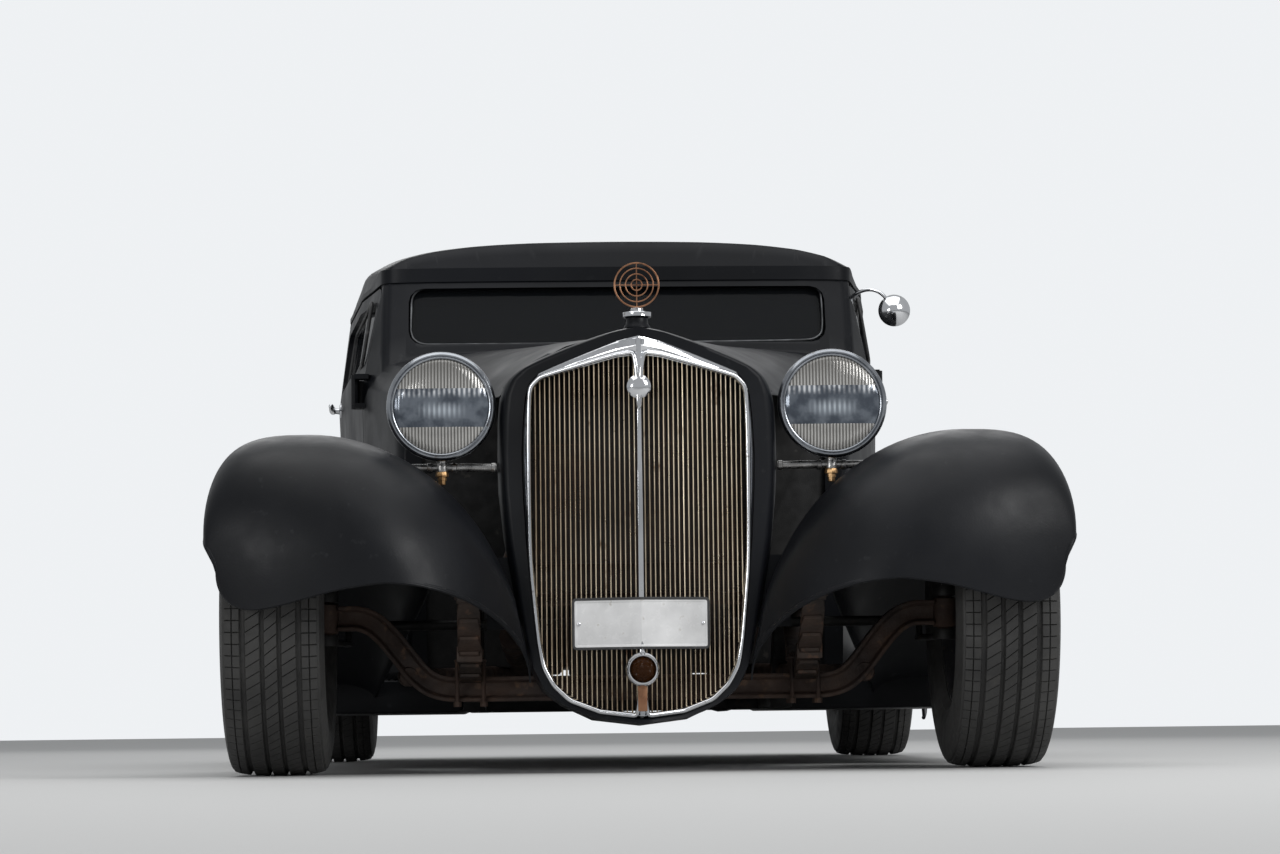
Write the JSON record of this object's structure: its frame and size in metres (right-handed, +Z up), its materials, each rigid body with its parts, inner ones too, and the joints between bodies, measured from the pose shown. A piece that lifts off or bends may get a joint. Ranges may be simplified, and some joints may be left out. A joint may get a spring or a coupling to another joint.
{
  "type": "hot rod sedan",
  "caption": "Low chopped sedan hot rod with a tall V grille, flared fenders, open engine sides, opening doors, hood and boot, steering and rolling wheels.",
  "frame": {"origin": "centre of the bounding box, on the ground the tyres stand on", "axes": "-Y ahead (the grille), +X to the car's own left, +Z up"},
  "size_m": [1.83, 4.25, 1.38],
  "materials": {
    "satin_black": "satin, lightly scuffed",
    "dark_steel": "dull",
    "rusty_iron": "rusty",
    "chrome": "polished",
    "aged_brass": "aged",
    "copper": "aged copper",
    "lamp_glass": "fluted",
    "tinted_glass": "tinted",
    "tyre_rubber": "matte",
    "dark_leather": "worn",
    "plate_enamel": "blank enamel",
    "black_rim": "polished"
  },
  "bodies": {
    "car": {"frame": "dark_steel", "front_axle": "rusty_iron", "rear_axle": "rusty_iron", "engine_block": "dark_steel", "radiator": "dark_steel", "fuel_tank": "dark_steel", "exhaust": "dark_steel", "body_shell": "satin_black", "quarter_glass_left": "tinted_glass", "quarter_glass_right": "tinted_glass", "windshield": "tinted_glass", "rear_window": "tinted_glass", "floor_pan": "satin_black", "dashboard": "satin_black", "front_seat": "dark_leather", "rear_seat": "dark_leather", "grille_shell": "satin_black", "grille_surround": "chrome", "grille_bars": "aged_brass", "number_plate": "plate_enamel", "pilot_lamp": "chrome", "radiator_cap": "copper", "mirror": "chrome", "headlamp_left": "chrome", "headlamp_right": "chrome", "headlamp_lens_left": "lamp_glass", "headlamp_lens_right": "lamp_glass", "fender_front_left": "satin_black", "fender_front_right": "satin_black", "fender_rear_left": "satin_black", "fender_rear_right": "satin_black", "running_board_left": "satin_black", "running_board_right": "satin_black"},
    "hood": {"hood": "satin_black"},
    "boot": {"boot_lid": "satin_black"},
    "door_left": {"door_left": "satin_black", "door_glass_left": "tinted_glass"},
    "door_right": {"door_right": "satin_black", "door_glass_right": "tinted_glass"},
    "steering": {"steering_wheel": "black_rim"},
    "knuckle_left": {"knuckle_left": "rusty_iron"},
    "knuckle_right": {"knuckle_right": "rusty_iron"},
    "tie_rod": {"tie_rod": "dark_steel"},
    "wheel_front_left": {"tyre_front_left": "tyre_rubber", "wheel_front_left": "dark_steel"},
    "wheel_front_right": {"tyre_front_right": "tyre_rubber", "wheel_front_right": "dark_steel"},
    "wheel_rear_left": {"tyre_rear_left": "tyre_rubber", "wheel_rear_left": "dark_steel"},
    "wheel_rear_right": {"tyre_rear_right": "tyre_rubber", "wheel_rear_right": "dark_steel"}
  },
  "joints": [
    {"name": "hood_lift", "type": "hinge", "parent": "car", "child": "hood", "pos_m": [0, -0.953, 1], "axis": [-1, 0, 0], "range_deg": [0, 50]},
    {"name": "boot_lift", "type": "hinge", "parent": "car", "child": "boot", "pos_m": [0, 1.636, 0.99], "axis": [1, 0, 0], "range_deg": [0, 60]},
    {"name": "door_left_swing", "type": "hinge", "parent": "car", "child": "door_left", "pos_m": [0.65, -0.5, 0.6], "axis": [0, 0, -1], "range_deg": [0, 65]},
    {"name": "door_right_swing", "type": "hinge", "parent": "car", "child": "door_right", "pos_m": [-0.65, -0.5, 0.6], "axis": [0, 0, 1], "range_deg": [0, 65]},
    {"name": "steer_left", "type": "hinge", "parent": "car", "child": "knuckle_left", "pos_m": [0.66, -1.675, 0.33], "axis": [0, 0, 1], "range_deg": [-25, 25]},
    {"name": "steer_right", "type": "hinge", "parent": "car", "child": "knuckle_right", "pos_m": [-0.66, -1.675, 0.33], "axis": [0, 0, 1], "range_deg": [-25, 25]},
    {"name": "tie_rod_turn", "type": "hinge", "parent": "knuckle_left", "child": "tie_rod", "pos_m": [0.62, -1.535, 0.318], "axis": [0, 0, 1], "range_deg": [-25, 25]},
    {"name": "steering_turn", "type": "hinge", "parent": "car", "child": "steering", "pos_m": [0.3, -0.3, 0.83], "axis": [0, 0.8884, 0.459], "range_deg": [-300, 300]},
    {"name": "roll_front_left", "type": "hinge", "parent": "knuckle_left", "child": "wheel_front_left", "pos_m": [0.7575, -1.675, 0.33], "axis": [1, 0, 0], "continuous": true},
    {"name": "roll_front_right", "type": "hinge", "parent": "knuckle_right", "child": "wheel_front_right", "pos_m": [-0.7575, -1.675, 0.33], "axis": [1, 0, 0], "continuous": true},
    {"name": "roll_rear_left", "type": "hinge", "parent": "car", "child": "wheel_rear_left", "pos_m": [0.775, 1.125, 0.33], "axis": [1, 0, 0], "continuous": true},
    {"name": "roll_rear_right", "type": "hinge", "parent": "car", "child": "wheel_rear_right", "pos_m": [-0.775, 1.125, 0.33], "axis": [1, 0, 0], "continuous": true}
  ],
  "couplings": [
    {"joint": "steer_right", "follows": "steer_left", "ratio": 1},
    {"joint": "tie_rod_turn", "follows": "steer_left", "ratio": -1},
    {"joint": "steering_turn", "follows": "steer_left", "ratio": 12}
  ]
}
